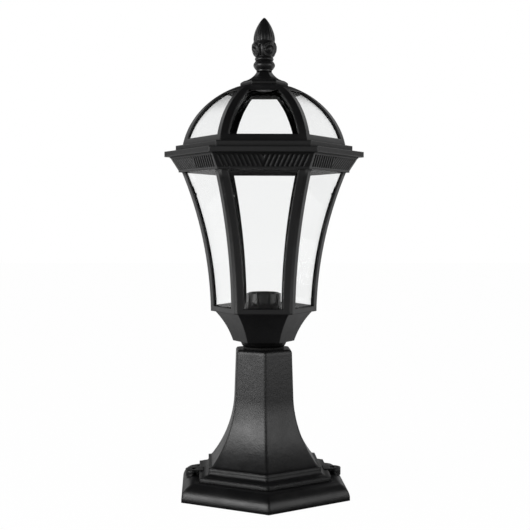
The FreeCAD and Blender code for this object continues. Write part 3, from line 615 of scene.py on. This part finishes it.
@dataclass
class Castings:
    """The painted castings, with rounded edges."""

    finish: PowderCoat = PowderCoat()
    # Each coat sets its own reach and steps for the painted shade in corners and grooves: the heavy
    # coat's on the pedestal's mouldings, the necked coat's round the cup's neck
    heavy: PowderCoat = PowderCoat(
        "satin_black_heavy_coat", soften=0.0045, reach=0.0075, alone_only=True, closed=(0.15, 0.4)
    )
    necked: PowderCoat = PowderCoat("satin_black_necked_coat", reach=0.014)
    fluted: PowderCoat = PowderCoat("satin_black_fluted_coat", soften=0.0016, reach=0.0045)
    short_flutes: ShortFlutes = ShortFlutes()
    carved: PowderCoat = PowderCoat("satin_black_carved_coat", soften=0.0004, reach=0.003)
    edges: dict[str, Edge] = field(
        default_factory=lambda: {
            "pedestal": Edge(0.001, 0.6, (0.015, 0.034)),
            "lantern_cup": Edge(0.0006),
            "cage": Edge(0.0005),
            "cornice": Edge(0.0007, 0.4, (0.3385, 0.3545)),
            "dome_frame": Edge(0.0006),
            "crown_cap": Edge(0.0006),
        }
    )

    def build(self, material: bpy.types.Material) -> None:
        """Makes each casting and paints it.

        Args:
            material: The paint.
        """
        special = {"pedestal": self.heavy, "lantern_cup": self.necked, "cornice": self.fluted}
        for node, edge in self.edges.items():
            carve = self.short_flutes.cut if node == "cornice" else None
            piece = rounded_copy(node, edge.width, edge.fine, edge.span, carve)
            coat = special[node].material() if node in special else material
            finish_piece(piece, coat, [node])


@dataclass
class Finial:
    """The carved bud: turned foot, scrolls between pearled grooves, and fluted tip. Millimetres.

    Ball and bead hold waist, widest radius and height; leaf and bud hold end radius, bulge and height.
    Eye, curl and line hold height or depth, then size, then width.
    """

    around: int = 216
    collar: Pair = (8.2, 1.8)
    ball: Triple = (8.9, 11.4, 9.2)
    bead: Triple = (9.0, 9.9, 3.6)
    leaf: Triple = (11.5, 2.5, 16.2)
    bud: Triple = (0.8, 3.2, 25.2)
    bud_step: float = 0.6
    seam: float = 0.01
    repeats: int = 4
    groove_turn: float = -115.0
    groove_rows: Pair = (1.4, 11.6)
    pearl: Pair = (1.9, 13.2)
    pearl_sunk: float = 0.75
    scroll_turn: float = 48.0
    scroll_middle: float = 7.3
    scroll_reach: float = 7.3
    scroll_wide: float = 1.1
    scroll_edge: float = 0.22
    scroll_rise: float = 0.85
    ground_sunk: float = 0.5
    eye: Pair = (0.9, 2.5)
    gap: Pair = (0.5, 0.45)
    curl: tuple[float, float, float, float] = (1.25, 3.8, 0.75, 0.35)
    line: Triple = (0.45, 5.9, 0.35)
    groove_depth: float = 1.4
    groove_flare: Triple = (0.75, 0.9, 1.6)
    leaf_ends: Triple = (1.2, 0.8, 0.3)
    flutes: int = 24
    flute_depth: float = 0.5
    flute_fade: Pair = (10.0, 1.2)
    swell_power: float = 0.8
    turned_steps: tuple[int, int] = (14, 8)
    carved_steps: tuple[int, int] = (60, 44)

    @property
    def leaf_foot(self) -> float:
        """Height where the carved leaf starts."""
        return self.collar[1] + self.ball[2] + self.bead[2]

    @property
    def bud_foot(self) -> float:
        """Height where the fluted bud starts."""
        return self.leaf_foot + self.leaf[2]

    def profile(self) -> list[Pair]:
        """The turned outline before carving, as (radius, height above the foot)."""
        rows = [(self.collar[0], 0.0), (self.collar[0], self.collar[1])]
        height = self.collar[1]
        for (waist, widest, tall), steps in zip((self.ball, self.bead), self.turned_steps):
            swell = widest - waist
            rows += [
                (waist + swell * math.sin(math.pi * k / steps), height + tall * k / steps)
                for k in range(steps + 1)
            ]
            height += tall
        starts = (self.bead[0], self.leaf[0] - self.bud_step)
        spans = zip(starts, (self.leaf, self.bud), self.carved_steps)
        for start, (end, bulge, tall), steps in spans:
            for k in range(1, steps + 1):
                share = k / steps
                swell = bulge * (4 * share * (1 - share)) ** self.swell_power
                rows.append((start + (end - start) * share + swell, height + tall * share))
            height += tall
        return rows

    def scroll(self, u: float, v: float) -> float:
        """Relief of one scroll.

        Args:
            u: Distance to the right of its eye.
            v: Distance above its eye.

        Returns:
            The height of the relief.
        """
        reach = math.hypot(u / self.scroll_wide, v)
        turn = math.atan2(v, u)
        inside = 1 / (1 + math.exp((reach - self.scroll_reach) / self.scroll_edge))
        tall, size = self.eye
        eye = tall * math.sqrt(max(0.0, 1 - (reach / size) ** 2))
        aside, width = self.gap
        open_side = 1 - bell(turn + aside, width)
        depth, size, width, wind = self.curl
        curl = -depth * open_side * bell(reach + wind * turn - size, width)
        depth, size, width = self.line
        line = -depth * bell(reach - size, width)
        return inside * (self.scroll_rise + eye + curl + line) - self.ground_sunk

    def carve(self, angle: float, height: float, radius: float) -> float:
        """Depth of the carving at a place.

        Args:
            angle: Angle round the axis, in radians.
            height: Height above the foot.
            radius: Radius of the turned outline there.

        Returns:
            How far the surface stands out, or in if negative.
        """
        if height > self.bud_foot + self.seam:
            up = (height - self.bud_foot) / self.bud[2]
            begin, end = self.flute_fade
            fade = min(1.0, up * begin) * max(0.0, 1 - up * end)
            return -self.flute_depth * fade * abs(math.sin(angle * self.flutes / 2))
        rise = height - self.leaf_foot
        if rise <= 0:
            return 0.0
        pitch = math.tau / self.repeats
        start = math.radians(self.groove_turn)
        across = ((angle - start + pitch / 2) % pitch - pitch / 2) * radius
        narrow, wider, level = self.groove_flare
        flare = narrow + wider * math.exp(-rise / level)
        low, high = self.groove_rows
        groove = -self.groove_depth * bell(across, flare) if low < rise < high else 0.0
        size, level = self.pearl
        pearl = size * math.sqrt(max(0.0, 1 - (math.hypot(across, rise - level) / size) ** 2))
        pearl = max(0.0, pearl - self.pearl_sunk)
        start += math.radians(self.scroll_turn)
        aside = ((angle - start + pitch / 2) % pitch - pitch / 2) * radius
        low, high, rest = self.leaf_ends
        edge = min(1.0, rise / low, (self.leaf[2] - rise) / high + rest)
        return edge * (groove + pearl + self.scroll(aside, rise - self.scroll_middle))

    def build(self, finish: PowderCoat, material: bpy.types.Material) -> None:
        """Extrudes a ring up the outline, then carves it.

        Args:
            finish: The paint; not used.
            material: The paint's material.
        """
        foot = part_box("finial")[0].z
        rows = self.profile()
        bpy.ops.object.select_all(action="DESELECT")
        bpy.ops.mesh.primitive_circle_add(
            vertices=self.around, radius=rows[0][0] / PER_METRE, fill_type="NGON", location=(0, 0, foot)
        )
        piece = bpy.context.active_object
        piece.name = "finial_carved"
        bpy.ops.object.transform_apply(location=True)
        bpy.ops.object.mode_set(mode="EDIT")
        bpy.ops.mesh.select_all(action="SELECT")
        for (radius, height), (wider, higher) in zip(rows, rows[1:]):
            bpy.ops.mesh.extrude_region_move(
                TRANSFORM_OT_translate={"value": (0, 0, (higher - height) / PER_METRE)}
            )
            grow = wider / radius
            bpy.ops.transform.resize(value=(grow, grow, 1), center_override=(0, 0, 0))
        bpy.ops.object.mode_set(mode="OBJECT")
        for vertex in piece.data.vertices:
            x, y, z = vertex.co * PER_METRE
            radius = math.hypot(x, y)
            carved = radius + self.carve(math.atan2(y, x), z - foot * PER_METRE, radius)
            vertex.co.x *= carved / radius
            vertex.co.y *= carved / radius
        alone(piece)
        bpy.ops.object.mode_set(mode="EDIT")
        bpy.ops.mesh.select_all(action="SELECT")
        bpy.ops.mesh.normals_make_consistent(inside=False)
        bpy.ops.object.mode_set(mode="OBJECT")
        bpy.ops.object.shade_smooth_by_angle(angle=CARVED_SMOOTH)
        finish_piece(piece, material, ["finial"])


@dataclass
class Glazing:
    """The curved panes."""

    finish: ClearGlass = ClearGlass()
    edge: float = 0.0003

    def build(self, material: bpy.types.Material) -> None:
        """Smooths each pane and gives it ground edges.

        Args:
            material: The glass.
        """
        for node in sorted(frame["nodes"]):
            if "_pane_" in node:
                finish_piece(rounded_copy(node, self.edge), material, [node])


@dataclass
class Fittings:
    """Everything else, each kind with its own finish."""

    holder: Moulding = Moulding(
        "black_holder_moulding", "holder_plastic", grey(0.003), grey(0.005), 0.22, 0.0009
    )
    ceramic: Moulding = Moulding(
        "glazed_insert", "insert_ceramic", (0.7, 0.67, 0.6, 1), (0.8, 0.78, 0.72, 1), 0.25, 0.002
    )
    block: Moulding = Moulding(
        "terminal_moulding", "terminal_plastic", (0.68, 0.66, 0.6, 1), (0.78, 0.76, 0.7, 1), 0.45, 0.0008
    )
    seal: Moulding = Moulding(
        "gasket_rubber_finish", "gasket_rubber", grey(0.002), grey(0.004), 0.85, 0.0006
    )
    brown: Moulding = Moulding(
        "brown_sheath", "live_sheath", (0.11, 0.035, 0.012, 1), (0.15, 0.05, 0.018, 1), 0.4, 0.0008
    )
    blue: Moulding = Moulding(
        "blue_sheath", "neutral_sheath", (0.012, 0.06, 0.3, 1), (0.02, 0.09, 0.38, 1), 0.4, 0.0008
    )
    green: Moulding = Moulding(
        "green_sheath", "earth_sheath", (0.05, 0.22, 0.02, 1), (0.5, 0.45, 0.03, 1), 0.4, 0.0008
    )
    brass: TurnedMetal = TurnedMetal(
        "turned_brass", "brass", (0.52, 0.36, 0.14, 1), (0.66, 0.48, 0.2, 1), 0.35
    )
    steel: TurnedMetal = TurnedMetal(
        "plated_steel", "steel", (0.4, 0.4, 0.41, 1), (0.55, 0.55, 0.56, 1), 0.38
    )
    edge: float = 0.00015

    def build(self, paint: bpy.types.Material) -> None:
        """Dresses the nodes that no other sub-assembly makes.

        Args:
            paint: The castings' paint, for the glazing strips.
        """
        kinds = (
            self.holder,
            self.ceramic,
            self.block,
            self.seal,
            self.brown,
            self.blue,
            self.green,
            self.brass,
            self.steel,
        )
        coats = {kind.slot: (kind, kind.material()) for kind in kinds}
        coats["black_paint"] = (PowderCoat(), paint)
        for row in frame["record"]["subparts"]:
            node, slot = row["node"], row["material_slot"]
            if frame["nodes"][node].hide_render or slot not in coats:
                continue
            finish, material = coats[slot]
            finish_piece(rounded_copy(node, self.edge), material, [node])


@dataclass(frozen=True)
class Fade:
    """A smooth step with a strength."""

    start: float
    end: float
    strength: float

    def of(self, amount: Amount) -> Amount:
        """Fades an amount.

        Args:
            amount: The amount.

        Returns:
            0 before the start, the strength past the end.
        """
        return amount.step(self.start, self.end) * self.strength


@dataclass(frozen=True)
class Softbox:
    """A soft lamp that points at the pedestal. Metres and watts."""

    name: str
    place: Triple
    size: Pair
    power: float
    target: Triple = (0.0, 0.0, 0.15)

    def build(self) -> None:
        """Makes the lamp."""
        aim = Vector(self.target) - Vector(self.place)
        turn = aim.to_track_quat("-Z", "Y").to_euler()
        bpy.ops.object.light_add(type="AREA", location=self.place, rotation=turn)
        lamp = bpy.context.active_object
        lamp.name = self.name
        lamp.data.shape = "RECTANGLE"
        lamp.data.size, lamp.data.size_y = self.size
        lamp.data.energy = self.power


@dataclass(frozen=True)
class Sky:
    """The white sweep. Steps are in the parts of a direction, from -1 to 1."""

    ambient: float = 0.2
    front: float = 0.6
    back: float = 0.28
    behind: Pair = (-0.3, 0.6)
    wing: float = 0.6
    wing_side: Pair = (0.04, 0.22)
    wing_foot: Pair = (0.12, 0.4)
    wing_top: Pair = (0.5, 0.75)
    dark_top: Pair = (0.06, 0.42)
    dark_wing_top: Pair = (0.45, 0.72)
    darkness: float = 0.97

    def build(self) -> None:
        """Makes it white where seen; in reflections it is grey, with bright wings and a dark top."""
        world = bpy.data.worlds.new("white_sweep")
        bpy.context.scene.world = world
        recipe = Recipe(world)
        matt, shiny = recipe.met(Ray.MATT), recipe.met(Ray.SHINY)
        aside, away, above = recipe.ways(recipe.node("ShaderNodeTexCoord").outputs["Generated"])
        behind = away.step(*self.behind)
        wings = behind * (aside * aside).step(*self.wing_side)
        overhead = above.step(*self.dark_top) * (1 - wings) + above.step(*self.dark_wing_top) * wings
        mirrored = (behind * (self.back - self.front) + self.front) * (1 - overhead * self.darkness)
        lit = above.step(*self.wing_foot) * (1 - above.step(*self.wing_top))
        mirrored = mirrored + wings * lit * self.wing
        seen = shiny * mirrored + (1 - shiny)
        strength = matt * self.ambient + (1 - matt) * seen
        sky = recipe.node("ShaderNodeBackground", inputs={"Color": WHITE, "Strength": strength})
        recipe.node("ShaderNodeOutputWorld", inputs={"Surface": sky.outputs[0]})


@dataclass(frozen=True)
class Floor:
    """The pale floor. Fades are over the floor, in metres from the lamp."""

    size: float = 12.0
    paper: float = 0.12
    glow: float = 1.31
    share: float = 0.75
    left: Fade = Fade(-0.5, -1.2, 0.6)
    right: Fade = Fade(0.5, 1.2, 0.4)
    rear: Fade = Fade(-0.08, 0.22, 0.3)
    near: Fade = Fade(-0.3, -0.8, 0.3)
    far: Fade = Fade(-1.1, -2.2, 0.2)

    def build(self) -> None:
        """Makes it white but for a faint shadow where seen; in reflections it is dim near the lamp."""
        bpy.ops.object.select_all(action="DESELECT")
        bpy.ops.mesh.primitive_plane_add(size=self.size, location=(0, 0, 0))
        floor = bpy.context.active_object
        floor.name = "pale_floor"
        material = bpy.data.materials.new("pale_floor_paper")
        recipe = Recipe(material)
        matt, shiny = recipe.met(Ray.MATT), recipe.met(Ray.SHINY)
        aside, away, _ = recipe.ways(recipe.place())
        sides = self.left.of(aside) + self.right.of(aside)
        ends = self.near.of(away) - self.far.of(away)
        mirrored = sides + self.rear.of(away) + ends
        seen = (1 - matt) * ((1 - shiny) * self.share + shiny * mirrored)
        paper = recipe.node("ShaderNodeBsdfDiffuse", inputs={"Color": grey(self.paper)})
        glow = recipe.node("ShaderNodeEmission", inputs={"Color": WHITE, "Strength": self.glow})
        shaders = {0: seen, 1: paper.outputs[0], 2: glow.outputs[0]}
        mix = recipe.node("ShaderNodeMixShader", inputs=shaders)
        recipe.node("ShaderNodeOutputMaterial", inputs={"Surface": mix.outputs[0]})
        floor.data.materials.append(material)


@dataclass
class Studio:
    """White sweep, soft lamps and the camera at the photograph's place."""

    camera_place: Triple = (-0.0615, -1.1077, 0.2874)
    camera_turn: Triple = (87.569, -0.127, -3.24)
    lens: float = 71.09
    sensor: float = 36.0
    sky: Sky = Sky()
    floor: Floor = Floor()
    lamps: tuple[Softbox, ...] = (
        Softbox("left_softbox", (-1.27, -0.78, 0.6), (0.8, 0.5), 8.8),
        Softbox("right_softbox", (1.34, -0.68, 0.58), (0.8, 0.7), 3.1),
        Softbox("left_low_strip", (-1.25, -0.66, 0.08), (0.8, 0.15), 1.65),
        Softbox("right_low_strip", (1.3, -0.66, 0.08), (0.8, 0.15), 0.3),
    )

    def build(self) -> None:
        """Builds camera, sky, floor and lamps."""
        self._camera()
        self.sky.build()
        self.floor.build()
        for lamp in self.lamps:
            lamp.build()
        bpy.context.scene.view_settings.view_transform = "Standard"

    def _camera(self) -> None:
        """Makes the camera."""
        turn = [math.radians(angle) for angle in self.camera_turn]
        bpy.ops.object.camera_add(location=self.camera_place, rotation=turn)
        camera = bpy.context.active_object
        camera.name = "photograph_camera"
        camera.data.lens = self.lens
        camera.data.sensor_width = self.sensor
        bpy.context.scene.camera = camera


def main() -> None:
    """Builds the dressed lamp and its studio."""
    logging.basicConfig(level=logging.INFO, format="%(name)s: %(message)s")
    Studio().build()
    castings = Castings()
    paint = castings.finish.material()
    castings.build(paint)
    Finial().build(castings.carved, castings.carved.material())
    glazing = Glazing()
    glazing.build(glazing.finish.material())
    Fittings().build(paint)
    bpy.ops.object.select_all(action="DESELECT")


if __name__ == "__main__":
    main()
